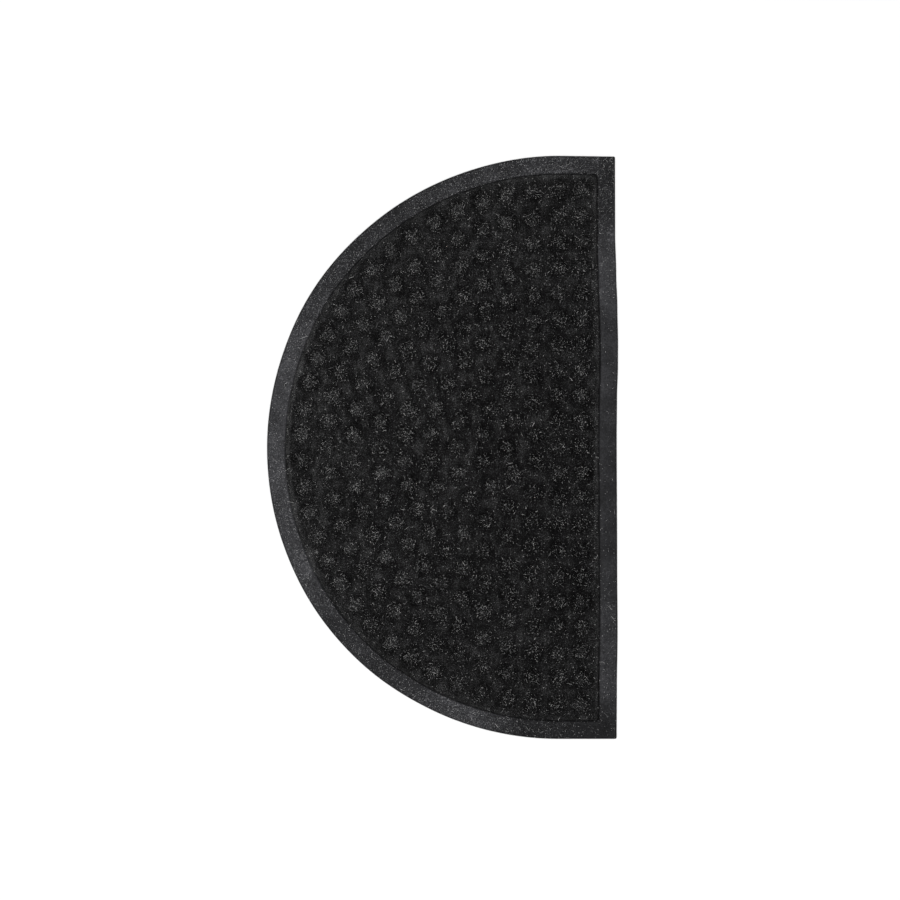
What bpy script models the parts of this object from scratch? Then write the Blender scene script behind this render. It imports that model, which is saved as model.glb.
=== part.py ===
"""Half-round doormat: a moulded rubber tray with a raised border, and the domed fibre face that lies in it.

Metres, +Z up. The mat lies on the floor, z = 0. The long side runs along Y, the flat side is at +X and
the arc at -X. The origin is the middle of the mat's box, on the floor.
"""

import math
from collections import namedtuple

import bmesh
import bpy
from mathutils import Vector
from mathutils.geometry import delaunay_2d_cdt

# Driving dimensions of the whole mat.
LENGTH = 0.750
DEPTH = 0.4515
ARC_RADIUS = LENGTH / 2
ARC_CENTRE = Vector((ARC_RADIUS - DEPTH / 2, 0.0))
FLAT_SIDE_X = DEPTH / 2

# The outline's fineness and its two corners, which are tighter outside than inside the border.
ARC_STEPS = 48
CORNER_STEPS = 3
OUTER_CORNER_RADIUS = 0.002
INNER_CORNER_RADIUS = 0.005

# The rubber border, a little wider along the arc than along the flat side, and the recess for the face.
BORDER_WIDTH = 0.0225
ARC_EXTRA_WIDTH = 0.0005
RECESS_FLOOR_Z = 0.003

# The fibre face. Its level is the top of the felt between the domes.
SEATING_GAP = 0.0003
SIDE_GAP = 0.0008
FACE_UNDERSIDE_Z = RECESS_FLOOR_Z + SEATING_GAP
FACE_LEVEL_Z = 0.0050
FACE_EDGE_Z = 0.0042
FACE_EDGE_ROUNDING = 0.0016

# The domes: half circles of them one pitch apart round the arc's centre, and a straight column.
DOME_PITCH = 0.033
DOME_SHELLS = 10
LEAST_SPACING = 0.0327
COLUMN_OFFSET = 0.0288
DOME_SIDES = 8

# The two materials, and the angle above which an edge is drawn crisp.
RUBBER_COLOUR = (0.042, 0.042, 0.044)
RUBBER_ROUGHNESS = 0.70
FELT_COLOUR = (0.012, 0.012, 0.012)
FELT_ROUGHNESS = 0.95
CRISP_ANGLE = math.radians(40)

# The mode that keeps the triangles inside the outermost ring, and the distance below which points merge.
INSIDE_THE_RIM = 1
MERGE_DISTANCE = 1e-7

# How far the arc stands out from a true half circle, by the angle in degrees from +X.
ArcRow = namedtuple("ArcRow", "angle stands_out")
ARC_ROWS = (
    ArcRow(90, 0.0000),
    ArcRow(110, -0.0011),
    ArcRow(128, -0.0008),
    ArcRow(148, 0.0003),
    ArcRow(162, -0.0004),
    ArcRow(180, 0.0000),
    ArcRow(198, 0.0005),
    ArcRow(216, 0.0013),
    ArcRow(228, 0.0012),
    ArcRow(243, 0.0001),
    ArcRow(270, 0.0000),
)

# How far the flat side is drawn in, by the place along it as a share of half the length. Its upper end stops
# short of the arc's, so the upper edge between them slopes a little.
SideRow = namedtuple("SideRow", "along drawn_in")
SIDE_ROWS = (
    SideRow(-1.00, 0.0018),
    SideRow(-0.84, 0.0015),
    SideRow(-0.64, 0.0006),
    SideRow(-0.40, 0.0011),
    SideRow(0.04, 0.0017),
    SideRow(0.17, 0.0013),
    SideRow(0.28, 0.0001),
    SideRow(0.36, 0.0000),
    SideRow(0.48, 0.0008),
    SideRow(0.60, 0.0023),
    SideRow(0.74, 0.0037),
    SideRow(0.9975, 0.0039),
)

# The border's section, from the foot of the rim over the lip to the recess floor.
BorderRow = namedtuple("BorderRow", "inset height")
BORDER_ROWS = (
    BorderRow(0.0000, 0.0000),
    BorderRow(0.0000, 0.0022),
    BorderRow(0.0012, 0.0029),
    BorderRow(0.0130, 0.0047),
    BorderRow(0.0180, 0.0053),
    BorderRow(0.0210, 0.0051),
    BorderRow(0.0222, 0.0044),
    BorderRow(BORDER_WIDTH, RECESS_FLOOR_Z),
)

# A dome's section about its own axis, with heights above the face's level. The lowest row is the groove.
DomeRow = namedtuple("DomeRow", "radius height")
DOME_ROWS = (
    DomeRow(0.0000, 0.0028),
    DomeRow(0.0065, 0.0021),
    DomeRow(0.0113, -0.0008),
    DomeRow(0.0142, 0.0000),
)


def stands_out(degrees):
    """How far the arc stands out at this angle, read between the rows of its table."""
    for low, high in zip(ARC_ROWS, ARC_ROWS[1:]):
        if degrees <= high.angle:
            share = (degrees - low.angle) / (high.angle - low.angle)
            return low.stands_out + (high.stands_out - low.stands_out) * share
    return ARC_ROWS[-1].stands_out


def towards(degrees):
    """The direction at this angle from +X."""
    angle = math.radians(degrees)
    return Vector((math.cos(angle), math.sin(angle)))


def outline(inset):
    """The mat's outline drawn in by the inset from its flat side, anticlockwise from the upper end of the arc."""
    share = min(inset / BORDER_WIDTH, 1.0)
    reach = ARC_RADIUS - inset - ARC_EXTRA_WIDTH * share
    rounding = OUTER_CORNER_RADIUS + (INNER_CORNER_RADIUS - OUTER_CORNER_RADIUS) * share
    points = []
    for step in range(ARC_STEPS + 1):
        degrees = 90 + 180 * step / ARC_STEPS
        points.append(ARC_CENTRE + towards(degrees) * (reach + stands_out(degrees)))
    straight = reach - rounding
    side = [Vector((FLAT_SIDE_X - inset - row.drawn_in, straight * row.along)) for row in SIDE_ROWS]
    to_centre = Vector((-rounding, 0.0))
    points += corner(side[0] + to_centre, rounding, 270)
    points += side[1:-1]
    points += corner(side[-1] + to_centre, rounding, 0)
    return points


def corner(centre, radius, first_degrees):
    """A quarter circle, anticlockwise."""
    quarter = [first_degrees + 90 * step / CORNER_STEPS for step in range(CORNER_STEPS + 1)]
    return [centre + towards(degrees) * radius for degrees in quarter]


def dome_centres():
    """One dome at the arc's centre, the half circles of domes round it, and the straight column."""
    centres = [ARC_CENTRE]
    for shell in range(1, DOME_SHELLS + 1):
        radius = shell * DOME_PITCH
        gaps = math.floor(math.pi * radius / LEAST_SPACING)
        centres += [ARC_CENTRE + towards(90 + 180 * step / gaps) * radius for step in range(gaps + 1)]
    for step in range(-DOME_SHELLS, DOME_SHELLS + 1):
        centres.append(ARC_CENTRE + Vector((COLUMN_OFFSET, step * DOME_PITCH)))
    return centres


def circle(centre, radius):
    """One ring of a dome."""
    return [centre + towards(360 * step / DOME_SIDES) * radius for step in range(DOME_SIDES)]


def material(name, colour, roughness):
    """A plain finish with no shine of metal."""
    made = bpy.data.materials.new(name)
    made.use_nodes = True
    shader = made.node_tree.nodes["Principled BSDF"]
    shader.inputs["Base Color"].default_value = (*colour, 1.0)
    shader.inputs["Roughness"].default_value = roughness
    shader.inputs["Metallic"].default_value = 0.0
    return made


def finished(name, work, surface):
    """The object of a finished bmesh, with its faces pointing out and its flat faces kept crisp."""
    bmesh.ops.recalc_face_normals(work, faces=work.faces)
    mesh = bpy.data.meshes.new(name)
    work.to_mesh(mesh)
    work.free()
    mesh.materials.append(surface)
    mesh.shade_smooth()
    mesh.set_sharp_from_angle(angle=CRISP_ANGLE)
    made = bpy.data.objects.new(name, mesh)
    bpy.context.scene.collection.objects.link(made)
    return made


def band(work, lower, upper):
    """A band of four-sided faces between two rings with as many points each."""
    count = len(lower)
    for i in range(count):
        j = (i + 1) % count
        work.faces.new((lower[i], lower[j], upper[j], upper[i]))


def rubber_base():
    """The border's section swept round the outline, closed by the underside and the recess floor."""
    work = bmesh.new()
    rings = []
    for row in BORDER_ROWS:
        rings.append([work.verts.new((*point, row.height)) for point in outline(row.inset)])
    for lower, upper in zip(rings, rings[1:]):
        band(work, lower, upper)
    work.faces.new(reversed(rings[0]))
    work.faces.new(rings[-1])
    return finished("rubber_base", work, material("crumb_rubber", RUBBER_COLOUR, RUBBER_ROUGHNESS))


def fibre_face():
    """The felt's upper face, with the rings of every dome laid out in it and lifted, on a flat underside."""
    points = []
    heights = []
    edges = []

    def add_ring(ring, height):
        first = len(points)
        count = len(ring)
        points.extend(ring)
        heights.extend([height] * count)
        edges.extend((first + i, first + (i + 1) % count) for i in range(count))

    rim = outline(BORDER_WIDTH + SIDE_GAP)
    add_ring(rim, FACE_EDGE_Z)
    add_ring(outline(BORDER_WIDTH + SIDE_GAP + FACE_EDGE_ROUNDING), FACE_LEVEL_Z)
    for centre in dome_centres():
        points.append(centre)
        heights.append(FACE_LEVEL_Z + DOME_ROWS[0].height)
        for row in DOME_ROWS[1:]:
            add_ring(circle(centre, row.radius), FACE_LEVEL_Z + row.height)

    # No two points merge, so the triangles' corners keep the order of the points.
    triangles = delaunay_2d_cdt(points, edges, [], INSIDE_THE_RIM, MERGE_DISTANCE)[2]
    work = bmesh.new()
    top = [work.verts.new((*point, height)) for point, height in zip(points, heights)]
    for triangle in triangles:
        work.faces.new([top[i] for i in triangle])
    under = [work.verts.new((*point, FACE_UNDERSIDE_Z)) for point in rim]
    band(work, under, top[: len(rim)])
    work.faces.new(reversed(under))
    return finished("fibre_face", work, material("needle_felt", FELT_COLOUR, FELT_ROUGHNESS))


for leftover in list(bpy.data.objects):
    bpy.data.objects.remove(leftover)
rubber_base()
fibre_face()
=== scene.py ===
"""The looks of a half-round doormat: a moulded crumb-rubber tray, and the domed felt face that lies in it.

Metres, +Z up. The mat lies on the floor with its flat side at +X and its arc at -X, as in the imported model.
"""

import math
from collections import namedtuple

import bpy
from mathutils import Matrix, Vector, noise
from mathutils.geometry import delaunay_2d_cdt


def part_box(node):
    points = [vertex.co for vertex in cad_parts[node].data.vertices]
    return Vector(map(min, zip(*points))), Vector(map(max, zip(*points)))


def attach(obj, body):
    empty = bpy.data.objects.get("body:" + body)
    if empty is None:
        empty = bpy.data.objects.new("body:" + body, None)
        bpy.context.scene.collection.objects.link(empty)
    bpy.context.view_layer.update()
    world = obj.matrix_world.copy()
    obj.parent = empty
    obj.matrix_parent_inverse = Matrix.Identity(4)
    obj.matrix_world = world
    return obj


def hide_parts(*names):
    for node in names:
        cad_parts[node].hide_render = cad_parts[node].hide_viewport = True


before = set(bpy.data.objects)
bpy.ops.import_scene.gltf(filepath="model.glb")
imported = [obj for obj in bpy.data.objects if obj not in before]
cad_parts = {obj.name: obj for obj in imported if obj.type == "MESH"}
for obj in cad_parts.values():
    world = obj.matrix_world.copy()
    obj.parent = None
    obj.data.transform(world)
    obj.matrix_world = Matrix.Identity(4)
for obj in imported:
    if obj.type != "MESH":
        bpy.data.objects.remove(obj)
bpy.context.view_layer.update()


# The rubber tray. Ground rubber crumb, pressed hot in a mould into one plate: a thin rim, a border that
# rises to a rounded lip, and a shallow recess for the face. It lies loose on the floor, and its border wears.
tray_low, tray_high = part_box("rubber_base")
ARC_RADIUS = (tray_high.y - tray_low.y) / 2
ARC_CENTRE = Vector((tray_low.x + ARC_RADIUS, (tray_low.y + tray_high.y) / 2))
FLAT_SIDE_X = tray_high.x

# The border is a little wider along the arc than along the flat side, and its two corners are tighter
# outside than inside.
BORDER_WIDTH = 0.0225
ARC_EXTRA_WIDTH = 0.0005
OUTER_CORNER_RADIUS = 0.002
INNER_CORNER_RADIUS = 0.005

# How fine the tray's mesh is, round the corners, along the outline and across the border.
CORNER_STEPS = 8
TRAY_POINT_SPACING = 0.0013
TRAY_ROW_SPACING = 0.0010

# How far the arc stands out from a true half circle, by the angle in degrees from +X.
ArcRow = namedtuple("ArcRow", "angle stands_out")
ARC_ROWS = (
    ArcRow(90, 0.0000),
    ArcRow(110, -0.0011),
    ArcRow(128, -0.0008),
    ArcRow(148, 0.0003),
    ArcRow(162, -0.0004),
    ArcRow(180, 0.0000),
    ArcRow(198, 0.0005),
    ArcRow(216, 0.0013),
    ArcRow(228, 0.0012),
    ArcRow(243, 0.0001),
    ArcRow(270, 0.0000),
)

# How far the flat side is drawn in, by the place along it as a share of half the length. Its upper end stops
# short of the arc's, so the upper edge between them slopes a little.
SideRow = namedtuple("SideRow", "along drawn_in")
SIDE_ROWS = (
    SideRow(-1.00, 0.0018),
    SideRow(-0.84, 0.0015),
    SideRow(-0.64, 0.0006),
    SideRow(-0.40, 0.0011),
    SideRow(0.04, 0.0017),
    SideRow(0.17, 0.0013),
    SideRow(0.28, 0.0001),
    SideRow(0.36, 0.0000),
    SideRow(0.48, 0.0008),
    SideRow(0.60, 0.0023),
    SideRow(0.74, 0.0037),
    SideRow(0.9975, 0.0039),
)

# The border's section, from the foot of the rim over the lip to the recess floor, and how worn it is there.
# The worn share is also painted shade: it is low down the outer rim and down the lip's inner wall into the
# groove, which makes them darker where shade falls.
BorderRow = namedtuple("BorderRow", "inset height wear")
BORDER_ROWS = (
    BorderRow(0.0000, 0.0000, 0.0),
    BorderRow(0.0000, 0.0018, 0.0),
    BorderRow(0.0005, 0.0025, 0.0),
    BorderRow(0.0014, 0.0029, 0.1),
    BorderRow(0.0026, 0.0031, 0.6),
    BorderRow(0.0130, 0.0046, 0.6),
    BorderRow(0.0167, 0.0051, 0.6),
    BorderRow(0.0189, 0.0053, 0.7),
    BorderRow(0.0213, 0.0053, 0.6),
    BorderRow(0.0219, 0.0052, 0.5),
    BorderRow(0.0223, 0.0047, 0.3),
    BorderRow(0.02245, 0.0038, 0.0),
    BorderRow(BORDER_WIDTH, 0.0030, 0.0),
)
LIP_CREST_INSET = 0.0213

# The finish by the way round the mat, as a share, from the upper end of the arc: how much paler the rubber
# is, as the dull bloom that comes out on rubber and as painted sheen along the border, how thickly loose
# fibres from the face lie on the border, how much the felt's margin is fuzzed, and how full of fibre dust
# the groove between the two is.
FinishRow = namedtuple("FinishRow", "way_round bloom lint fuzz dust")
FINISH_ROWS = (
    FinishRow(0.000, 0.51, 1.0, 0.6, 0.2),
    FinishRow(0.070, 0.39, 0.9, 0.0, 0.0),
    FinishRow(0.110, 0.31, 0.8, 0.0, 0.0),
    FinishRow(0.165, 0.33, 0.9, 0.4, 0.2),
    FinishRow(0.210, 0.80, 0.7, 0.9, 0.7),
    FinishRow(0.250, 0.88, 0.5, 1.0, 0.8),
    FinishRow(0.360, 0.75, 0.7, 0.8, 0.8),
    FinishRow(0.405, 0.37, 0.7, 0.0, 0.2),
    FinishRow(0.440, 0.28, 0.8, 0.0, 0.0),
    FinishRow(0.505, 0.66, 1.0, 0.0, 0.0),
    FinishRow(0.540, 0.00, 0.8, 0.0, 0.0),
    FinishRow(0.600, 0.00, 0.4, 0.0, 0.0),
    FinishRow(0.622, 0.63, 0.4, 0.4, 0.0),
    FinishRow(0.760, 0.36, 0.1, 0.6, 0.0),
    FinishRow(0.845, 0.57, 0.1, 0.6, 0.0),
    FinishRow(0.900, 0.86, 0.5, 0.5, 0.0),
    FinishRow(0.940, 0.05, 0.9, 0.6, 0.0),
    FinishRow(1.000, 0.51, 1.0, 0.6, 0.2),
)

# The unevenness of the pressed rubber: long slack waves, and the crumb itself.
WAVE_LENGTH = 0.070
WAVE_HEIGHT = 0.00012
CRUMB_LENGTH = 0.0026
CRUMB_HEIGHT = 0.00010

# The rubber's colours by its tone, which is nothing at its darkest and one at its palest. It hardly shines.
RUBBER_TONES = (
    (0.0, (0.004, 0.004, 0.0043)),
    (0.30, (0.0155, 0.0155, 0.0168)),
    (0.50, (0.034, 0.034, 0.0367)),
    (0.70, (0.063, 0.063, 0.0675)),
    (1.0, (0.180, 0.180, 0.1900)),
)
RUBBER_ROUGHNESS = 0.68
RUBBER_SHINE = 0.08

# The rubber's markings: how many crumbs and flecks there are to a metre, how rare and how wide the flecks
# are, and how long the clouds, the mottling and the grain of its tone are.
CRUMBS_TO_A_METRE = 620.0
FLECKS_TO_A_METRE = 700.0
FLECK_RARITY = 0.50
FLECK_REACH = 0.42
CLOUD_LENGTH = 0.024
MOTTLE_LENGTH = 0.0038
GRAIN_LENGTH = 0.0015

# How much tone each of them adds to the rubber's least, where it is full. The grain is coarser under lint.
# The bloom tone also paints sheen, and the wear tone also paints shade at the rim and in the groove.
LEAST_RUBBER_TONE = -0.34
SHEEN_AND_BLOOM_TONE = 0.42
WEAR_AND_SHADE_TONE = 0.18
CRUMB_TONE = 0.10
CLOUD_TONE = 0.40
MOTTLE_TONE = 0.20
FLECK_TONE = 0.34
CLEAN_GRAIN_TONE = 0.48
LINTY_GRAIN_TONE = 0.65

# The fine relief, which is too small for the mesh: mostly the grain, and half as much the crumbs.
RUBBER_RELIEF_DEPTH = 0.00025
RUBBER_RELIEF_STRENGTH = 0.6
CRUMB_RELIEF = 0.5


def read_rows(rows, place):
    """The columns of a table at a place between two of its rows, eased from the one to the other."""
    for low, high in zip(rows, rows[1:]):
        if place <= high[0]:
            share = max(0.0, (place - low[0]) / (high[0] - low[0]))
            eased = share * share * (3 - 2 * share)
            return [a + (b - a) * eased for a, b in zip(low[1:], high[1:])]
    return list(rows[-1][1:])


def towards(degrees):
    """The direction at this angle from +X."""
    angle = math.radians(degrees)
    return Vector((math.cos(angle), math.sin(angle)))


def straight(start, end, steps):
    """Points from the start towards the end, which belongs to the next stretch."""
    return [start.lerp(end, step / steps) for step in range(steps)]


def corner(centre, radius, first_degrees):
    """A quarter circle, anticlockwise."""
    quarter = [first_degrees + 90 * step / CORNER_STEPS for step in range(CORNER_STEPS + 1)]
    return [centre + towards(degrees) * radius for degrees in quarter]


def outline(inset, spacing):
    """The outline drawn in by the inset from its flat side, anticlockwise from the upper end of the arc."""
    share = min(inset / BORDER_WIDTH, 1.0)
    reach = ARC_RADIUS - inset - ARC_EXTRA_WIDTH * share
    rounding = OUTER_CORNER_RADIUS + (INNER_CORNER_RADIUS - OUTER_CORNER_RADIUS) * share
    arc_steps = round(math.pi * ARC_RADIUS / spacing)
    side_steps = round(2 * ARC_RADIUS / spacing)
    end_steps = round((FLAT_SIDE_X - ARC_CENTRE.x) / spacing)

    points = []
    for step in range(arc_steps):
        degrees = 90 + 180 * step / arc_steps
        (stands_out,) = read_rows(ARC_ROWS, degrees)
        points.append(ARC_CENTRE + towards(degrees) * (reach + stands_out))

    side = []
    lower_end = SIDE_ROWS[0].along
    upper_end = SIDE_ROWS[-1].along
    for step in range(side_steps + 1):
        along = lower_end + (upper_end - lower_end) * step / side_steps
        (drawn_in,) = read_rows(SIDE_ROWS, along)
        side.append(Vector((FLAT_SIDE_X - inset - drawn_in, (reach - rounding) * along)))

    to_centre = Vector((-rounding, 0.0))
    lower = corner(side[0] + to_centre, rounding, 270)
    upper = corner(side[-1] + to_centre, rounding, 0)
    points += straight(ARC_CENTRE + Vector((0.0, -reach)), lower[0], end_steps)
    points += lower
    points += side[1:-1]
    points += upper
    points += straight(upper[-1], ARC_CENTRE + Vector((0.0, reach)), end_steps)[1:]
    return points


def divided(rows, spacing):
    """The rows of a section with more put in between, no further apart than the spacing."""
    fine = [rows[0]]
    for low, high in zip(rows, rows[1:]):
        steps = math.ceil(math.dist(low[:2], high[:2]) / spacing)
        for step in range(1, steps + 1):
            share = step / steps
            fine.append(BorderRow(*(a + (b - a) * share for a, b in zip(low, high))))
    return fine


def unevenness(place):
    """How far the rubber stands above its true form at this place."""
    wave = noise.noise(place / WAVE_LENGTH) * WAVE_HEIGHT
    crumb = noise.noise(place / CRUMB_LENGTH) * CRUMB_HEIGHT
    return wave + crumb


def band(first_lower, first_upper, count):
    """The four-sided faces between two rings of points that are numbered from these first ones."""
    faces = []
    for i in range(count):
        j = (i + 1) % count
        faces.append((first_lower + i, first_lower + j, first_upper + j, first_upper + i))
    return faces


def new_object(name, mesh):
    """A smooth-shaded object of a mesh, at the origin."""
    mesh.validate()
    mesh.shade_smooth()
    made = bpy.data.objects.new(name, mesh)
    bpy.context.scene.collection.objects.link(made)
    return made


def keep_values(mesh, name, values):
    """Keeps a value for each point of a mesh under a name."""
    mesh.attributes.new(name, "FLOAT", "POINT").data.foreach_set("value", values)


def tray_mesh():
    """The section swept round the outline, closed by the underside and the floor of the recess."""
    points = []
    faces = []
    bloom = []
    lint = []
    wear = []
    rows = divided(BORDER_ROWS, TRAY_ROW_SPACING)
    for number, row in enumerate(rows):
        ring = outline(row.inset, TRAY_POINT_SPACING)
        count = len(ring)
        if number:
            faces += band(len(points) - count, len(points), count)
        for i, point in enumerate(ring):
            place = Vector((*point, row.height))
            if 0 < number < len(rows) - 1:
                place.z += unevenness(place)
            points.append(place)
            # How much paler the rubber is here, as bloom and as painted sheen.
            sheen_and_bloom_here, strewn, _, dusty = read_rows(FINISH_ROWS, i / count)
            bloom.append(sheen_and_bloom_here)
            lint.append(strewn if row.wear else 0.0)
            # The worn share stays low at the rim and the lip's inner wall, which paints shade there; fibre
            # dust in the groove lifts it.
            wear.append(max(row.wear, dusty) if row.inset > LIP_CREST_INSET else row.wear)
    faces.append(list(reversed(range(count))))
    faces.append(list(range(len(points) - count, len(points))))

    mesh = bpy.data.meshes.new("rubber_tray")
    mesh.from_pydata(points, [], faces)
    keep_values(mesh, "bloom", bloom)
    keep_values(mesh, "lint", lint)
    keep_values(mesh, "wear", wear)
    return mesh


def add_node(tree, kind, inputs=None, **settings):
    """A new node with its settings, and each input given as a value or as the socket that feeds it."""
    node = tree.nodes.new(kind)
    for name, setting in settings.items():
        setattr(node, name, setting)
    for key, value in (inputs or {}).items():
        if isinstance(value, bpy.types.NodeSocket):
            tree.links.new(value, node.inputs[key])
        else:
            node.inputs[key].default_value = value
    return node


def math_node(tree, operation, first, second=0.0, third=0.0, clamped=False):
    """The result of one step of arithmetic."""
    given = {0: first, 1: second, 2: third}
    return add_node(tree, "ShaderNodeMath", given, operation=operation, use_clamp=clamped).outputs[0]


def noise_node(tree, place, length, detail=2.0):
    """Noise whose lumps are about this long."""
    given = {"Vector": place, "Scale": 1 / length, "Detail": detail}
    return add_node(tree, "ShaderNodeTexNoise", given).outputs["Fac"]


def attribute_node(tree, name):
    """The value of a piece's own attribute."""
    return add_node(tree, "ShaderNodeAttribute", attribute_name=name).outputs["Fac"]


def ramp_node(tree, factor, stops):
    """The colour at a factor between stops of (place, colour)."""
    node = add_node(tree, "ShaderNodeValToRGB", {"Fac": factor})
    elements = node.color_ramp.elements
    elements[0].position, elements[1].position = stops[0][0], stops[-1][0]
    for place, colour in stops[1:-1]:
        elements.new(place)
    for element, (place, colour) in zip(elements, stops):
        element.color = (*colour, 1.0)
    return node.outputs["Color"]


def new_material(name, roughness, specular):
    """A material with a plain dull shader, its node tree and the shader."""
    made = bpy.data.materials.new(name)
    made.use_nodes = True
    shader = made.node_tree.nodes["Principled BSDF"]
    shader.inputs["Roughness"].default_value = roughness
    shader.inputs["Specular IOR Level"].default_value = specular
    return made, made.node_tree, shader


def add_tones(tree, tone, parts):
    """A tone and what each of the parts adds to it, which is its value times its weight."""
    for value, weight in parts:
        tone = math_node(tree, "MULTIPLY_ADD", value, weight, tone)
    return tone


def even_about_nothing(tree, value):
    """Noise that lies evenly about a half, shifted to lie evenly about nothing."""
    return math_node(tree, "SUBTRACT", value, 0.5)


def finish_surface(tree, shader, colour, relief, depth, strength):
    """Gives a shader its colour, and a relief that is too fine for the mesh."""
    given = {"Height": relief, "Strength": strength, "Distance": depth}
    bump = add_node(tree, "ShaderNodeBump", given).outputs["Normal"]
    tree.links.new(colour, shader.inputs["Base Color"])
    tree.links.new(bump, shader.inputs["Normal"])


def crumb_rubber():
    """Matte charcoal rubber: crumbs of several shades, bloomed and worn, with painted sheen and shade,
    coarser under lint.
    """
    made, tree, shader = new_material("crumb_rubber", RUBBER_ROUGHNESS, RUBBER_SHINE)
    place = add_node(tree, "ShaderNodeTexCoord").outputs["Object"]
    crumb = add_node(tree, "ShaderNodeTexVoronoi", {"Vector": place, "Scale": CRUMBS_TO_A_METRE})
    shade = add_node(tree, "ShaderNodeSeparateColor", {0: crumb.outputs["Color"]}).outputs[0]
    fleck = add_node(tree, "ShaderNodeTexVoronoi", {"Vector": place, "Scale": FLECKS_TO_A_METRE})
    drawn = add_node(tree, "ShaderNodeSeparateColor", {0: fleck.outputs["Color"]}).outputs[1]
    lint = attribute_node(tree, "lint")
    rare = math_node(tree, "GREATER_THAN", math_node(tree, "MULTIPLY", drawn, lint), FLECK_RARITY)
    small = math_node(tree, "LESS_THAN", fleck.outputs["Distance"], FLECK_REACH)
    grain = noise_node(tree, place, GRAIN_LENGTH, detail=3.0)
    grain_tone = math_node(tree, "MULTIPLY_ADD", lint, LINTY_GRAIN_TONE, CLEAN_GRAIN_TONE)
    tone = add_tones(tree, LEAST_RUBBER_TONE, (
        (attribute_node(tree, "bloom"), SHEEN_AND_BLOOM_TONE),
        (attribute_node(tree, "wear"), WEAR_AND_SHADE_TONE),
        (shade, CRUMB_TONE),
        (noise_node(tree, place, CLOUD_LENGTH, detail=3.0), CLOUD_TONE),
        (noise_node(tree, place, MOTTLE_LENGTH), MOTTLE_TONE),
        (even_about_nothing(tree, grain), grain_tone),
        (math_node(tree, "MULTIPLY", rare, small), FLECK_TONE),
    ))
    relief = math_node(tree, "MULTIPLY_ADD", shade, CRUMB_RELIEF, grain)
    colour = ramp_node(tree, tone, RUBBER_TONES)
    finish_surface(tree, shader, colour, relief, RUBBER_RELIEF_DEPTH, RUBBER_RELIEF_STRENGTH)
    return made


tray = new_object("rubber_tray", tray_mesh())
tray.data.materials.append(crumb_rubber())
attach(tray, "root")
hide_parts("rubber_base")


# The face. Black needle felt, cut to the recess and pressed hot over a plate of studs: each stud leaves a
# low round dome with a ring sunk round it, and the margin stays flat. It is bonded to the recess's floor.
felt_low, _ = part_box("fibre_face")
FACE_UNDERSIDE_Z = felt_low.z
FACE_LEVEL_Z = 0.0050
SIDE_GAP = 0.0008
FACE_INSET = BORDER_WIDTH + SIDE_GAP

# How far apart the felt's points are, and how near those between the domes come to the domes' outermost
# rings and to the margin, as shares of that. At the arc they stay this much further off.
FACE_POINT_SPACING = 0.0022
GAP_TO_RING = 0.5
GAP_TO_MARGIN = 0.6
GAP_AT_ARC = 0.001

# The cut edge isn't even.
FRAY_LENGTH = 0.006
FRAY_DEPTH = 0.0004
FRAY_SEED = 4

# The cut edge and the margin of the felt: the inset from its rim, how high it stands, and its share of fuzz.
EdgeRow = namedtuple("EdgeRow", "inset height fuzz")
EDGE_ROWS = (
    EdgeRow(0.0000, 0.0042, 0.0),
    EdgeRow(0.0006, 0.0046, 0.2),
    EdgeRow(0.0018, FACE_LEVEL_Z, 0.9),
    EdgeRow(0.0042, FACE_LEVEL_Z, 1.0),
    EdgeRow(0.0075, FACE_LEVEL_Z, 0.0),
)

# Half circles of domes one pitch apart round the arc's centre, and a straight column beside the flat side.
DOME_PITCH = 0.033
DOME_SHELLS = 10
LEAST_SPACING = 0.0327
COLUMN_OFFSET = 0.0288

# A dome's section about its own axis, with heights above the felt's level.
DomeRow = namedtuple("DomeRow", "radius height")
DOME_ROWS = (
    DomeRow(0.0000, 0.0028),
    DomeRow(0.0035, 0.0026),
    DomeRow(0.0065, 0.0021),
    DomeRow(0.0092, 0.0009),
    DomeRow(0.0108, -0.0006),
    DomeRow(0.0117, -0.0009),
    DomeRow(0.0130, -0.0005),
    DomeRow(0.0146, 0.0000),
)
DOME_RINGS = (0.0020, 0.0040, 0.0060, 0.0078, 0.0092, 0.0102, 0.0110, 0.0118, 0.0127, 0.0137, 0.0148)

# No two domes are pressed alike: the lowest has this share of the full height. The felt is lumpy all over,
# and a point belongs to its upper face where it is no more than the slack below its level.
LEAST_PRESSED = 0.80
LUMP_LENGTH = 0.0042
LUMP_HEIGHT = 0.00045
LEVEL_SLACK = 0.0001

# Fibres stand up on the crown of a dome, and lie in the ring round it, which reaches to both sides of its
# radius. The cap is where a whole dome is paler or darker than the next. Each of the three is full up to a
# share of its radius or reach, and thins out from there. The crown and the cap have ragged edges.
CROWN_RADIUS = 0.0125
FULL_CROWN = 0.45
CAP_RADIUS = 0.0110
FULL_CAP = 0.6
RING_RADIUS = 0.0108
RING_REACH = 0.0032
FULL_RING = 0.4
RAGGED_LENGTH = 0.008
RAGGED_REACH = 0.0045

# How thickly fibres stand on the least and the most napped dome, as shares. Wear adds to an unworn nap.
LEAST_NAPPED = 0.69
MOST_NAPPED = 1.03
UNWORN_NAP = 0.43
NAP_BY_WEAR = 0.50

# How feet have worn the felt: least at one place, and more in ovals round it, on the way to the arc.
# Between the domes the wear keeps nearer to its mean, and shows only this share of its unevenness.
LEAST_WORN = Vector((0.165, -0.080, FACE_LEVEL_Z))
WEAR_OVAL = Vector((1.0, 0.55, 0.0))
WEAR_IS_FULL = 0.420
LEAST_WEAR = 0.44
FULL_WEAR = 1.42
MEAN_WEAR = 0.85
UNEVENNESS_BETWEEN = 0.38

# What is drawn at random for each dome.
PRESSED_SEED = 5
NAPPED_SEED = 6
PALED_SEED = 7

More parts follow.
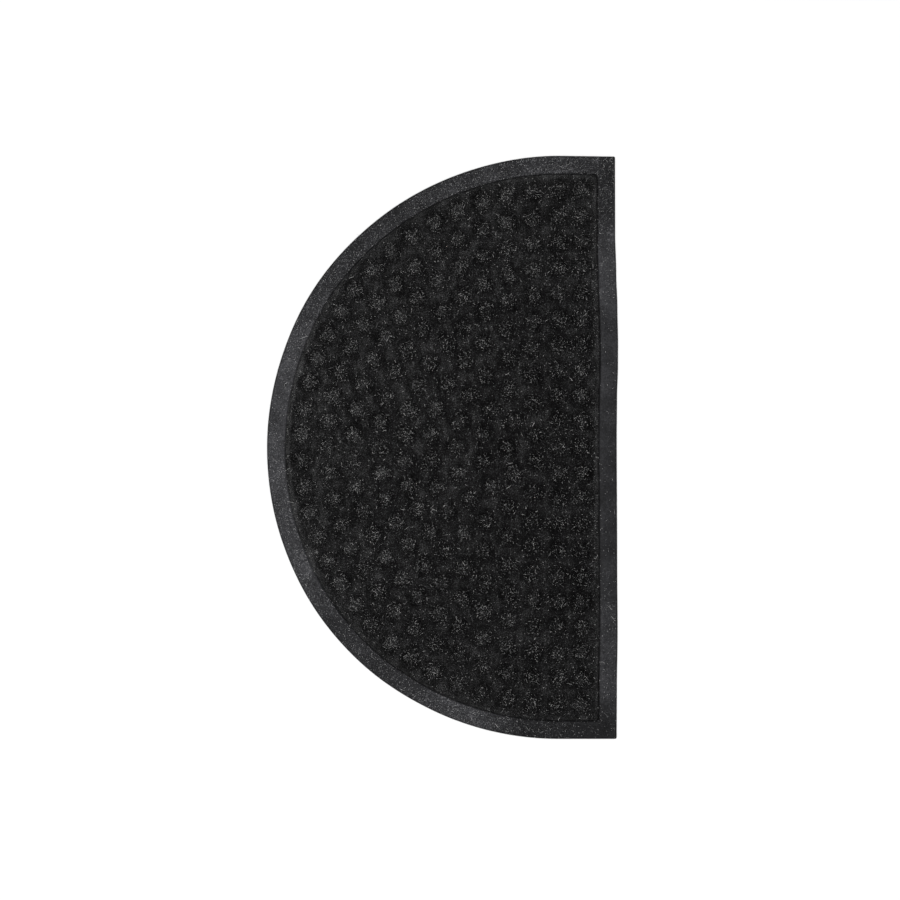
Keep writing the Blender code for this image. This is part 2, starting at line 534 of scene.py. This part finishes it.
# How much paler than the bottom of a sunk ring the felt is, by the way from the nearest dome's axis. The ring
# is darkest because the felt is pressed there and because painted shade stands for the shadow in it.
PressedAndShadedRow = namedtuple("PressedAndShadedRow", "radius tone")
PRESSED_AND_SHADED_ROWS = (
    PressedAndShadedRow(0.0000, 0.112),
    PressedAndShadedRow(0.0050, 0.086),
    PressedAndShadedRow(0.0078, 0.000),
    PressedAndShadedRow(0.0100, 0.000),
    PressedAndShadedRow(0.0120, 0.010),
    PressedAndShadedRow(0.0130, 0.060),
    PressedAndShadedRow(0.0156, 0.070),
    PressedAndShadedRow(0.0184, 0.190),
)
PRESSED_AND_SHADED_REACH = 0.020

# The felt's colours by its tone, which is nothing at its darkest and one at its palest. It is quite dull.
FELT_TONES = (
    (0.0, (0.0014, 0.0014, 0.0014)),
    (0.30, (0.0053, 0.0053, 0.0054)),
    (0.50, (0.0120, 0.0120, 0.0122)),
    (0.70, (0.0266, 0.0266, 0.0270)),
    (1.0, (0.0840, 0.0840, 0.0850)),
)
FELT_ROUGHNESS = 0.95
FELT_SHINE = 0.02

# The felt's markings: how long its streaks, pads, patches and tangles are across the needling. The streaks,
# and the pads and patches less so, are drawn out along it, by squeezing their place there.
STREAK_LENGTH = 0.0030
STREAK_SQUEEZE = 0.12
PAD_LENGTH = 0.0120
PATCH_LENGTH = 0.0065
PAD_SQUEEZE = 0.6
TANGLE_LENGTH = 0.0008

# How much tone each of them adds to the felt's least, where it is full. The tangle of fibres does most.
LEAST_FELT_TONE = -2.285
STREAK_TONE = 0.35
PAD_TONE = 0.57
PATCH_TONE = 0.05
TANGLE_TONE = 3.50
WORN_TONE = 0.245
PALED_TONE = 0.09
FUZZ_TONE = 0.18

# The fine relief of the tangle, and of the streaks in part.
FELT_RELIEF_DEPTH = 0.0004
FELT_RELIEF_STRENGTH = 0.8
STREAK_RELIEF = 0.6


def dome_centres():
    """One dome at the arc's centre, the half circles of domes round it, and the straight column."""
    centres = [ARC_CENTRE]
    for shell in range(1, DOME_SHELLS + 1):
        radius = shell * DOME_PITCH
        gaps = math.floor(math.pi * radius / LEAST_SPACING)
        centres += [ARC_CENTRE + towards(90 + 180 * step / gaps) * radius for step in range(gaps + 1)]
    for step in range(-DOME_SHELLS, DOME_SHELLS + 1):
        centres.append(ARC_CENTRE + Vector((COLUMN_OFFSET, step * DOME_PITCH)))
    return centres


def circle(centre, radius):
    """A ring of points round a dome, about as far apart as those of the felt between the domes."""
    count = round(2 * math.pi * radius / FACE_POINT_SPACING) + 1
    return [centre + towards(360 * step / count) * radius for step in range(count)]


def lattice(domes):
    """Points in rows of equal triangles over the felt between the domes, clear of its rim."""
    clear = DOME_RINGS[-1] + GAP_TO_RING * FACE_POINT_SPACING
    margin = FACE_INSET + EDGE_ROWS[-1].inset + GAP_TO_MARGIN * FACE_POINT_SPACING
    drawn_in = max(row.drawn_in for row in SIDE_ROWS)
    row_step = FACE_POINT_SPACING * math.sqrt(3) / 2
    rows = math.ceil(ARC_RADIUS / row_step)
    columns = math.ceil(ARC_RADIUS / FACE_POINT_SPACING)
    found = []
    for row in range(-rows, rows + 1):
        near = [dome for dome in domes if abs(dome.y - row * row_step) < clear]
        for column in range(-columns, columns + 1):
            point = Vector(((column + 0.5 * (row % 2)) * FACE_POINT_SPACING, row * row_step))
            from_centre = point - ARC_CENTRE
            inside_arc = from_centre.length < ARC_RADIUS - margin - GAP_AT_ARC
            inside_ends = abs(point.y) < ARC_RADIUS - margin
            inside_side = point.x < FLAT_SIDE_X - margin - drawn_in
            inside = inside_side and (inside_arc if from_centre.x < 0 else inside_ends)
            if inside and all((point - dome).length > clear for dome in near):
                found.append(point)
    return found


def frayed(point):
    """A point of the felt's margin, moved a little, as the cut edge isn't even."""
    return point + noise.noise_vector(point.to_3d() / FRAY_LENGTH).to_2d() * FRAY_DEPTH


def felt_mesh():
    """The flat cut of felt: a triangulated upper face with rings of points where the domes will be."""
    # Without a seed of its own the edge would fray in another way each time.
    noise.seed_set(FRAY_SEED)
    points = []
    heights = []
    fuzz = []
    for row in EDGE_ROWS:
        ring = outline(FACE_INSET + row.inset, FACE_POINT_SPACING)
        count = len(ring)
        points += [frayed(point) for point in ring]
        heights += [row.height] * count
        for i in range(count):
            _, _, fuzzed, dusty = read_rows(FINISH_ROWS, i / count)
            fuzzed *= row.fuzz
            fuzz.append(max(fuzzed, dusty) if row.height < FACE_LEVEL_Z else fuzzed)
    rim = [(i, (i + 1) % count) for i in range(count)]
    domes = dome_centres()
    for dome in domes:
        points.append(dome)
        for radius in DOME_RINGS:
            points += circle(dome, radius)
    points += lattice(domes)
    heights += [FACE_LEVEL_Z] * (len(points) - len(heights))

    # No two points merge, so the triangles' corners keep the order of the points.
    inside_the_rim = 1
    merge_distance = 1e-7
    faces = delaunay_2d_cdt(points, rim, [], inside_the_rim, merge_distance)[2]
    vertices = [(*point, height) for point, height in zip(points, heights)]
    faces += band(len(vertices), 0, count)
    vertices += [(*point, FACE_UNDERSIDE_Z) for point in points[:count]]
    faces.append(list(reversed(range(len(vertices) - count, len(vertices)))))
    mesh = bpy.data.meshes.new("felt_cut")
    mesh.from_pydata(vertices, [], faces)
    keep_values(mesh, "fuzz", fuzz + [0.0] * (len(vertices) - len(fuzz)))
    return mesh


def geometry_tree(name, sockets):
    """A tree of Geometry Nodes with these named inputs, and the sockets that bring them in."""
    tree = bpy.data.node_groups.new(name, "GeometryNodeTree")
    tree.is_modifier = True
    tree.interface.new_socket("Geometry", in_out="INPUT", socket_type="NodeSocketGeometry")
    for socket, kind in sockets:
        tree.interface.new_socket(socket, in_out="INPUT", socket_type="NodeSocket" + kind)
    tree.interface.new_socket("Geometry", in_out="OUTPUT", socket_type="NodeSocketGeometry")
    return tree, tree.nodes.new("NodeGroupInput").outputs


def end_tree(tree, geometry, material):
    """Ends a tree with plain geometry in one material."""
    realized = add_node(tree, "GeometryNodeRealizeInstances", {"Geometry": geometry}).outputs[0]
    painted = add_node(tree, "GeometryNodeSetMaterial", {"Geometry": realized, "Material": material})
    add_node(tree, "NodeGroupOutput", {0: painted.outputs[0]})


def made_by(tree, source, name, values):
    """The plain mesh object that a tree makes of a source object, which keeps its own mesh."""
    modifier = source.modifiers.new(tree.name, "NODES")
    modifier.node_group = tree
    for item in tree.interface.items_tree:
        if item.in_out == "INPUT" and item.name in values:
            modifier[item.identifier] = values[item.name]
    evaluated = source.evaluated_get(bpy.context.evaluated_depsgraph_get())
    mesh = bpy.data.meshes.new_from_object(evaluated)
    mesh.name = name
    source.modifiers.remove(modifier)
    return new_object(name, mesh)


def store_node(tree, geometry, name, value):
    """The geometry with a value kept on each point under a name."""
    given = {"Geometry": geometry, "Name": name, "Value": value}
    return add_node(tree, "GeometryNodeStoreNamedAttribute", given).outputs[0]


def random_node(tree, least, most, seed, **inputs):
    """A number drawn between two others, for each point or for each ID that is given."""
    given = {2: least, 3: most, "Seed": seed, **inputs}
    return add_node(tree, "FunctionNodeRandomValue", given).outputs[1]


def vector_node(tree, operation, given, output="Vector"):
    """The result of one step of arithmetic with vectors."""
    return add_node(tree, "ShaderNodeVectorMath", given, operation=operation).outputs[output]


def fall_node(tree, value, end, full):
    """One up to the full share of the way to the end, nothing from the end on, and smooth between."""
    given = {"Value": value, 1: math_node(tree, "MULTIPLY", end, full), 2: end, 3: 1.0, 4: 0.0}
    return add_node(tree, "ShaderNodeMapRange", given, interpolation_type="SMOOTHSTEP").outputs[0]


def uneven_node(tree, place, length):
    """Noise evenly about nothing, whose lumps are about as long as a socket says."""
    given = {"Vector": place, "Scale": math_node(tree, "DIVIDE", 1.0, length)}
    return even_about_nothing(tree, add_node(tree, "ShaderNodeTexNoise", given).outputs["Fac"])


def press_domes():
    """Lifts flat felt into domes round given points, and notes how thickly fibres stand up on it."""
    tree, given = geometry_tree("press_domes", (
        ("Studs", "Object"),
        ("Level", "Float"),
        ("Lump Length", "Float"),
        ("Lump Height", "Float"),
        ("Least Worn", "Vector"),
        ("Wear Oval", "Vector"),
        ("Wear Is Full", "Float"),
        ("Crown Radius", "Float"),
        ("Cap Radius", "Float"),
        ("Ring Radius", "Float"),
        ("Ring Reach", "Float"),
        ("Ragged Length", "Float"),
        ("Ragged Reach", "Float"),
        ("Material", "Material"),
    ))
    place = add_node(tree, "GeometryNodeInputPosition").outputs[0]
    height = add_node(tree, "ShaderNodeSeparateXYZ", {0: place}).outputs["Z"]
    upper = math_node(tree, "GREATER_THAN", height, math_node(tree, "SUBTRACT", given["Level"], LEVEL_SLACK))
    studs = add_node(tree, "GeometryNodeObjectInfo", {"Object": given["Studs"]}).outputs["Geometry"]
    near = add_node(tree, "GeometryNodeProximity", {"Geometry": studs}, target_element="POINTS")
    nearest = add_node(tree, "GeometryNodeSampleNearest", {"Geometry": studs}).outputs[0]
    distance = near.outputs["Distance"]

    # The section as a curve from the axis, at nothing, to the dome's reach, at one.
    reach = DOME_ROWS[-1].radius
    lowest = min(row.height for row in DOME_ROWS)
    highest = max(row.height for row in DOME_ROWS)
    share = math_node(tree, "DIVIDE", distance, reach, clamped=True)
    section = add_node(tree, "ShaderNodeFloatCurve", {"Value": share})
    knots = section.mapping.curves[0].points
    knots[0].location = (0.0, (DOME_ROWS[0].height - lowest) / (highest - lowest))
    knots[1].location = (1.0, (DOME_ROWS[-1].height - lowest) / (highest - lowest))
    for row in DOME_ROWS[1:-1]:
        knots.new(row.radius / reach, (row.height - lowest) / (highest - lowest))
    section.mapping.update()
    lift = math_node(tree, "MULTIPLY_ADD", section.outputs[0], highest - lowest, lowest)

    # No two studs press alike.
    pressed = random_node(tree, LEAST_PRESSED, 1.0, PRESSED_SEED, ID=nearest)
    lift = math_node(tree, "MULTIPLY", lift, pressed)
    lumps = math_node(tree, "MULTIPLY", uneven_node(tree, place, given["Lump Length"]), given["Lump Height"])
    offset = add_node(tree, "ShaderNodeCombineXYZ", {"Z": math_node(tree, "ADD", lift, lumps)}).outputs[0]

    # How worn the felt is here.
    away = vector_node(tree, "SUBTRACT", {0: place, 1: given["Least Worn"]})
    away = vector_node(tree, "MULTIPLY", {0: away, 1: given["Wear Oval"]})
    away = vector_node(tree, "LENGTH", {0: away}, "Value")
    unworn = fall_node(tree, away, given["Wear Is Full"], 0.0)
    worn = math_node(tree, "MULTIPLY_ADD", unworn, LEAST_WEAR - FULL_WEAR, FULL_WEAR)

    # Where fibres lie in the ring.
    off_ring = math_node(tree, "ABSOLUTE", math_node(tree, "SUBTRACT", distance, given["Ring Radius"]))
    ringed = math_node(tree, "MULTIPLY", fall_node(tree, off_ring, given["Ring Reach"], FULL_RING), upper)

    # Where they stand up. No two domes carry the same nap, and its edge is ragged.
    ragged = uneven_node(tree, place, given["Ragged Length"])
    distance = math_node(tree, "MULTIPLY_ADD", ragged, given["Ragged Reach"], distance)
    napped = random_node(tree, LEAST_NAPPED, MOST_NAPPED, NAPPED_SEED, ID=nearest)
    paled = random_node(tree, -1.0, 1.0, PALED_SEED, ID=nearest)
    paled = math_node(tree, "MULTIPLY", paled, fall_node(tree, distance, given["Cap Radius"], FULL_CAP))
    crown = fall_node(tree, distance, given["Crown Radius"], FULL_CROWN)
    teased = math_node(tree, "MULTIPLY_ADD", worn, NAP_BY_WEAR, UNWORN_NAP)
    teased = math_node(tree, "MULTIPLY", teased, math_node(tree, "MULTIPLY", napped, upper))

    # Feet wear the crowns more unevenly than the felt between them.
    unevenly = math_node(tree, "MULTIPLY_ADD", crown, 1 - UNEVENNESS_BETWEEN, UNEVENNESS_BETWEEN)
    off_mean = math_node(tree, "SUBTRACT", worn, MEAN_WEAR)
    worn = math_node(tree, "MULTIPLY_ADD", off_mean, unevenly, MEAN_WEAR)

    # All of it is noted on the flat felt, before it is lifted.
    flat = store_node(tree, given["Geometry"], "crown", math_node(tree, "MULTIPLY", crown, teased))
    flat = store_node(tree, flat, "ringed", math_node(tree, "MULTIPLY", ringed, worn))
    flat = store_node(tree, flat, "upper", upper)
    flat = store_node(tree, flat, "worn", worn)
    flat = store_node(tree, flat, "paled", paled)
    flat = store_node(tree, flat, "from_stud", distance)
    raised = add_node(tree, "GeometryNodeSetPosition", {0: flat, 1: upper, "Offset": offset}).outputs[0]
    end_tree(tree, raised, given["Material"])
    return tree


def pressed_and_shaded_tone(tree):
    """How much paler than the bottom of a sunk ring the felt is here; the ring's darkness is partly painted
    shade.
    """
    share = math_node(tree, "DIVIDE", attribute_node(tree, "from_stud"), PRESSED_AND_SHADED_REACH)
    return ramp_node(tree, share, [(row.radius / PRESSED_AND_SHADED_REACH, (row.tone,) * 3) for row in PRESSED_AND_SHADED_ROWS])


def drawn_out(tree, place, squeeze):
    """A place squeezed along the needling, so that a pattern there comes out longer."""
    return add_node(tree, "ShaderNodeMapping", {"Vector": place, "Scale": (1.0, squeeze, 1.0)}).outputs[0]


def needle_felt():
    """Dull black felt: tangled fibre in patches, faint streaks along the needling, sunk rings darkened by
    pressing and by painted shade.
    """
    made, tree, shader = new_material("needle_felt", FELT_ROUGHNESS, FELT_SHINE)
    place = add_node(tree, "ShaderNodeTexCoord").outputs["Object"]
    padded = drawn_out(tree, place, PAD_SQUEEZE)
    streaks = noise_node(tree, drawn_out(tree, place, STREAK_SQUEEZE), STREAK_LENGTH)
    tangle = noise_node(tree, place, TANGLE_LENGTH, detail=3.0)
    tone = add_tones(tree, LEAST_FELT_TONE, (
        (streaks, STREAK_TONE),
        (noise_node(tree, padded, PAD_LENGTH, detail=1.0), PAD_TONE),
        (noise_node(tree, padded, PATCH_LENGTH, detail=1.0), PATCH_TONE),
        (tangle, TANGLE_TONE),
        (attribute_node(tree, "worn"), WORN_TONE),
        (attribute_node(tree, "paled"), PALED_TONE),
        (attribute_node(tree, "fuzz"), FUZZ_TONE),
    ))
    # Darker in the sunk rings, partly as painted shade.
    tone = math_node(tree, "ADD", tone, pressed_and_shaded_tone(tree))
    relief = math_node(tree, "MULTIPLY_ADD", streaks, STREAK_RELIEF, tangle)
    colour = ramp_node(tree, tone, FELT_TONES)
    finish_surface(tree, shader, colour, relief, FELT_RELIEF_DEPTH, FELT_RELIEF_STRENGTH)
    return made


stud_mesh = bpy.data.meshes.new("studs")
stud_mesh.from_pydata([(*centre, FACE_LEVEL_Z) for centre in dome_centres()], [], [])
studs = bpy.data.objects.new("studs", stud_mesh)
bpy.context.scene.collection.objects.link(studs)
cut = new_object("felt_cut", felt_mesh())
face = made_by(press_domes(), cut, "felt_face", {
    "Studs": studs,
    "Level": FACE_LEVEL_Z,
    "Lump Length": LUMP_LENGTH,
    "Lump Height": LUMP_HEIGHT,
    "Least Worn": LEAST_WORN,
    "Wear Oval": WEAR_OVAL,
    "Wear Is Full": WEAR_IS_FULL,
    "Crown Radius": CROWN_RADIUS,
    "Cap Radius": CAP_RADIUS,
    "Ring Radius": RING_RADIUS,
    "Ring Reach": RING_REACH,
    "Ragged Length": RAGGED_LENGTH,
    "Ragged Reach": RAGGED_REACH,
    "Material": needle_felt(),
})
bpy.data.objects.remove(studs)
bpy.data.objects.remove(cut)
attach(face, "root")
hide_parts("fibre_face")


# The nap. Coarse polypropylene fibres that needling and wear have pulled out of the felt: fibres and stubs
# on the crowns of the domes, more in the rings, between the domes and along the cut edge, and a few hairs.
# Some have come away, and lie on the rubber border as lint and hairs.

# What all fibres share: how deep one is rooted and how far out and up it bends, for its length, how long
# the shortest is for the longest, how much thinner a tip is than its root, and its sides and its sways.
ROOT_DEPTH = 0.05
BEND = 0.35
SHORTEST = 0.45
TIP_THINNER = 0.6
FIBRE_SIDES = 3
SWAYS_TO_A_METRE = 420.0
FEWEST_BENT_SEGMENTS = 2

# What is drawn at random for each fibre.
TINT_SEED = 1
TURN_SEED = 2
LENGTH_SEED = 3

# The fibres' colours by their tint. Most are black or grey, and a few are pale, with a soft gloss. The
# palest stand for pale fibres and for painted glints as well.
FIBRE_TINTS_AND_GLINTS = (
    (0.0, (0.005, 0.005, 0.005)),
    (0.48, (0.016, 0.016, 0.016)),
    (0.78, (0.225, 0.225, 0.228)),
    (1.0, (0.880, 0.880, 0.870)),
)
FIBRE_ROUGHNESS = 0.42
FIBRE_SHINE = 0.35


def strew_fibres():
    """Strews bent, tapered fibres over a surface, as densely as one of its attributes says."""
    tree, given = geometry_tree("strew_fibres", (
        ("Density Attribute", "String"),
        ("Density", "Float"),
        ("Seed", "Int"),
        ("Length", "Float"),
        ("Thickness", "Float"),
        ("Rise", "Float"),
        ("Tilt", "Float"),
        ("Curl", "Float"),
        ("Darkness", "Float"),
        ("Segments", "Int"),
        ("Material", "Material"),
    ))
    named = add_node(tree, "GeometryNodeInputNamedAttribute", {"Name": given["Density Attribute"]}).outputs[0]
    strewn = add_node(tree, "GeometryNodeDistributePointsOnFaces", {
        "Mesh": given["Geometry"],
        "Density": math_node(tree, "MULTIPLY", named, given["Density"]),
        "Seed": given["Seed"],
    })
    # How pale each fibre is; the palest are partly painted glints.
    drawn = random_node(tree, 0.0, 1.0, TINT_SEED)
    tint = math_node(tree, "POWER", drawn, given["Darkness"])
    roots = store_node(tree, strewn.outputs["Points"], "tint", tint)

    # One fibre, a unit long, that leaves the felt, rises and bends over. With one segment it is straight.
    tip = add_node(tree, "ShaderNodeCombineXYZ", {"X": 1.0, "Z": given["Rise"]}).outputs[0]
    root = (0.0, 0.0, -ROOT_DEPTH)
    bend = {"Resolution": given["Segments"], "Start": root, "Middle": (BEND, 0.0, BEND), "End": tip}
    bent = add_node(tree, "GeometryNodeCurveQuadraticBezier", bend).outputs[0]
    stiff = add_node(tree, "GeometryNodeCurvePrimitiveLine", {"Start": root, "End": tip}).outputs[0]
    fibre = add_node(tree, "GeometryNodeSwitch", {
        "Switch": math_node(tree, "LESS_THAN", given["Segments"], FEWEST_BENT_SEGMENTS),
        "False": bent,
        "True": stiff,
    }, input_type="GEOMETRY").outputs[0]

    # Each is turned its own way, tilted a little, and has its own length.
    down = math_node(tree, "MULTIPLY", given["Tilt"], -1.0)
    least = add_node(tree, "ShaderNodeCombineXYZ", {"X": down, "Y": down}).outputs[0]
    most = {"X": given["Tilt"], "Y": given["Tilt"], "Z": 2 * math.pi}
    most = add_node(tree, "ShaderNodeCombineXYZ", most).outputs[0]
    turn = {0: least, 1: most, "Seed": TURN_SEED}
    turn = add_node(tree, "FunctionNodeRandomValue", turn, data_type="FLOAT_VECTOR").outputs[0]
    turned = add_node(tree, "FunctionNodeEulerToRotation", {0: turn}).outputs[0]
    rotation = add_node(tree, "FunctionNodeRotateRotation", {
        "Rotation": strewn.outputs["Rotation"],
        "Rotate By": turned,
    }, rotation_space="LOCAL").outputs[0]
    shortest = math_node(tree, "MULTIPLY", given["Length"], SHORTEST)
    length = random_node(tree, shortest, given["Length"], LENGTH_SEED)
    planted = add_node(tree, "GeometryNodeInstanceOnPoints", {
        "Points": roots,
        "Instance": fibre,
        "Rotation": rotation,
        "Scale": length,
    }).outputs[0]
    loose = add_node(tree, "GeometryNodeRealizeInstances", {0: planted}).outputs[0]

    # Each is bent its own way, more towards its tip, and thins out there.
    along = add_node(tree, "GeometryNodeSplineParameter").outputs["Factor"]
    place = add_node(tree, "GeometryNodeInputPosition").outputs[0]
    sway = {"Vector": place, "Scale": SWAYS_TO_A_METRE, "Detail": 1.0}
    sway = add_node(tree, "ShaderNodeTexNoise", sway).outputs["Color"]
    sway = vector_node(tree, "SUBTRACT", {0: sway, 1: (0.5, 0.5, 0.5)})
    sway = vector_node(tree, "SCALE", {0: sway, "Scale": math_node(tree, "MULTIPLY", along, given["Curl"])})
    swayed = add_node(tree, "GeometryNodeSetPosition", {"Geometry": loose, "Offset": sway}).outputs[0]
    section = add_node(tree, "GeometryNodeCurvePrimitiveCircle", {
        "Resolution": FIBRE_SIDES,
        "Radius": math_node(tree, "MULTIPLY", given["Thickness"], 0.5),
    }).outputs[0]
    strands = add_node(tree, "GeometryNodeCurveToMesh", {
        "Curve": swayed,
        "Profile Curve": section,
        "Scale": math_node(tree, "MULTIPLY_ADD", along, -TIP_THINNER, 1.0),
        "Fill Caps": True,
    }).outputs[0]
    end_tree(tree, strands, given["Material"])
    return tree


def coarse_fibre():
    """Coarse fibre from black to pale grey, by a value drawn for each one; the palest are partly painted
    glints.
    """
    made, tree, shader = new_material("coarse_fibre", FIBRE_ROUGHNESS, FIBRE_SHINE)
    tree.links.new(ramp_node(tree, attribute_node(tree, "tint"), FIBRE_TINTS_AND_GLINTS), shader.inputs["Base Color"])
    return made


# Each kind of fibre: what it grows from or lies on, the attribute that says how densely, how many there are
# to a square metre where that is one, the seed, the greatest length, the thickness, how high it rises for
# its length, how far it tilts in radians, how far it curls, how dark most of them are, and its segments.
NapRow = namedtuple(
    "NapRow", "name source attribute density seed length thickness rise tilt curl darkness segments"
)
NAP_ROWS = (
    NapRow("crown_fibres_short", face, "crown", 370000.0, 11, 0.0017, 0.00038, 0.40, 0.40, 0.0012, 1.30, 1),
    NapRow("crown_fibres_long", face, "crown", 15000.0, 12, 0.0045, 0.00036, 0.25, 0.25, 0.0030, 0.80, 3),
    NapRow("crown_stubs", face, "crown", 235000.0, 20, 0.0011, 0.00050, 0.50, 0.50, 0.0006, 0.70, 1),
    NapRow("ring_fibres", face, "ringed", 62000.0, 18, 0.0014, 0.00042, 0.20, 0.40, 0.0012, 1.20, 1),
    NapRow("felt_fibres_short", face, "upper", 98000.0, 13, 0.0014, 0.00044, 0.15, 0.40, 0.0010, 1.20, 1),
    NapRow("felt_fibres_long", face, "upper", 5500.0, 15, 0.0045, 0.00034, 0.12, 0.30, 0.0026, 1.20, 3),
    NapRow("felt_hairs", face, "upper", 600.0, 19, 0.0075, 0.00036, 0.10, 0.10, 0.0040, 0.35, 5),
    NapRow("rim_fibres", face, "fuzz", 60000.0, 16, 0.0020, 0.00034, 0.20, 0.40, 0.0010, 1.60, 2),
    NapRow("border_lint", tray, "lint", 350000.0, 14, 0.0015, 0.00042, 0.06, 0.40, 0.0008, 0.90, 1),
    NapRow("border_hairs", tray, "lint", 1200.0, 17, 0.0110, 0.00028, 0.04, 0.10, 0.0040, 0.30, 4),
)
strew = strew_fibres()
fibre_material = coarse_fibre()
for row in NAP_ROWS:
    fibres = made_by(strew, row.source, row.name, {
        "Density Attribute": row.attribute,
        "Density": row.density,
        "Seed": row.seed,
        "Length": row.length,
        "Thickness": row.thickness,
        "Rise": row.rise,
        "Tilt": row.tilt,
        "Curl": row.curl,
        "Darkness": row.darkness,
        "Segments": row.segments,
        "Material": fibre_material,
    })
    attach(fibres, "root")


# The floor, the light and the camera. A white floor just under the mat's underside, a white sky and one
# large soft lamp high over the mat, and the camera straight above it with a long lens.
FLOOR_SIZE = 8.0
FLOOR_PLACE = (0.0, 0.0, -0.0002)
FLOOR_COLOUR = (0.86, 0.86, 0.86, 1.0)
FLOOR_ROUGHNESS = 0.9
FLOOR_SHINE = 0.1
bpy.ops.mesh.primitive_plane_add(size=FLOOR_SIZE, location=FLOOR_PLACE)
floor = bpy.context.object
floor.name = "floor"
white, _, white_shader = new_material("white_floor", FLOOR_ROUGHNESS, FLOOR_SHINE)
white_shader.inputs["Base Color"].default_value = FLOOR_COLOUR
floor.data.materials.append(white)

SKY_COLOUR = (1.0, 1.0, 1.0, 1.0)
SKY_STRENGTH = 0.55
world = bpy.data.worlds.new("sky")
world.use_nodes = True
world.node_tree.nodes["Background"].inputs["Color"].default_value = SKY_COLOUR
world.node_tree.nodes["Background"].inputs["Strength"].default_value = SKY_STRENGTH
bpy.context.scene.world = world

LAMP_PLACE = Vector((-0.2, -0.2, 3.7))
LAMP_SIZE = 1.2
LAMP_POWER = 102.0
lamp_data = bpy.data.lights.new("soft_lamp", "AREA")
lamp_data.size = LAMP_SIZE
lamp_data.energy = LAMP_POWER
lamp = bpy.data.objects.new("soft_lamp", lamp_data)
lamp.location = LAMP_PLACE
lamp.rotation_euler = LAMP_PLACE.to_track_quat("Z", "Y").to_euler()
bpy.context.scene.collection.objects.link(lamp)

CAMERA_HEIGHT = 3.0
FRAME_WIDTH = 1.1565
FRAME_CENTRE = (0.0096, -0.0034)
camera_data = bpy.data.cameras.new("camera")
camera_data.lens = camera_data.sensor_width * CAMERA_HEIGHT / FRAME_WIDTH
camera = bpy.data.objects.new("camera", camera_data)
camera.location = (*FRAME_CENTRE, CAMERA_HEIGHT + FACE_LEVEL_Z)
bpy.context.scene.collection.objects.link(camera)
bpy.context.scene.camera = camera
bpy.context.scene.view_settings.view_transform = "Standard"
